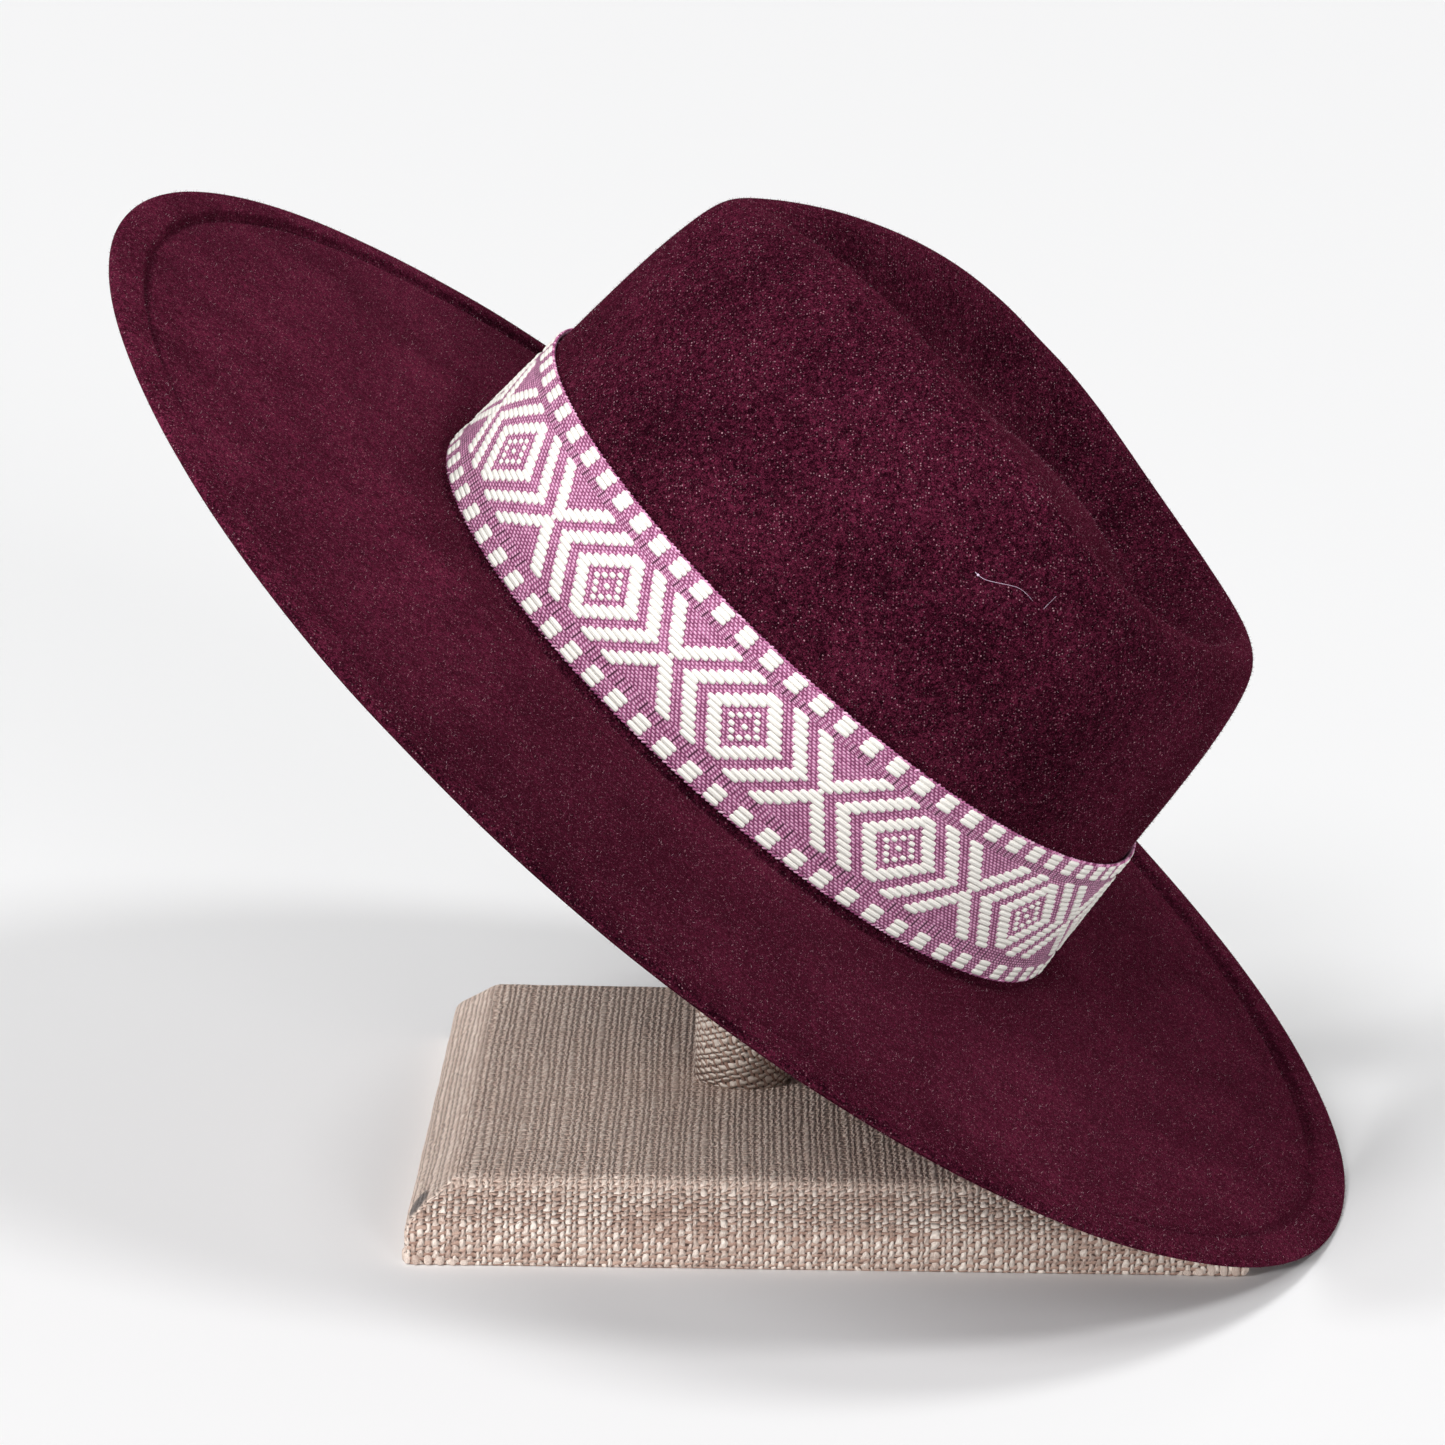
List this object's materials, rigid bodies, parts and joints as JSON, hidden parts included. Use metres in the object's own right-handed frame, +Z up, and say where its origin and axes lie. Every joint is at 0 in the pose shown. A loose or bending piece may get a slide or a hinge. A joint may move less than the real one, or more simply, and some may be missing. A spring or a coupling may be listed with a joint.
{
  "type": "fedora on display stand",
  "caption": "Felt fedora with a teardrop crease, a wide welted brim and a woven band, leaning on a small fabric-covered display stand with a post that carries the crown.",
  "frame": {"origin": "centre of the flat underside of the stand's base", "axes": "+Z up; +X to the right as the hat is seen from its left side, with its raised front at -X; +Y away from that viewer, so the hat's left side faces -Y"},
  "size_m": [0.318, 0.3755, 0.259],
  "materials": {
    "wine_felt": "deep wine felt with a fine nap",
    "woven_band": "ribbed mauve weave with raised off-white diamonds",
    "linen": "greige linen in a coarse basket weave"
  },
  "bodies": {
    "root": {"felt_body": "wine_felt", "hat_band": "woven_band", "stand_base": "linen", "stand_post": "linen"}
  },
  "joints": []
}
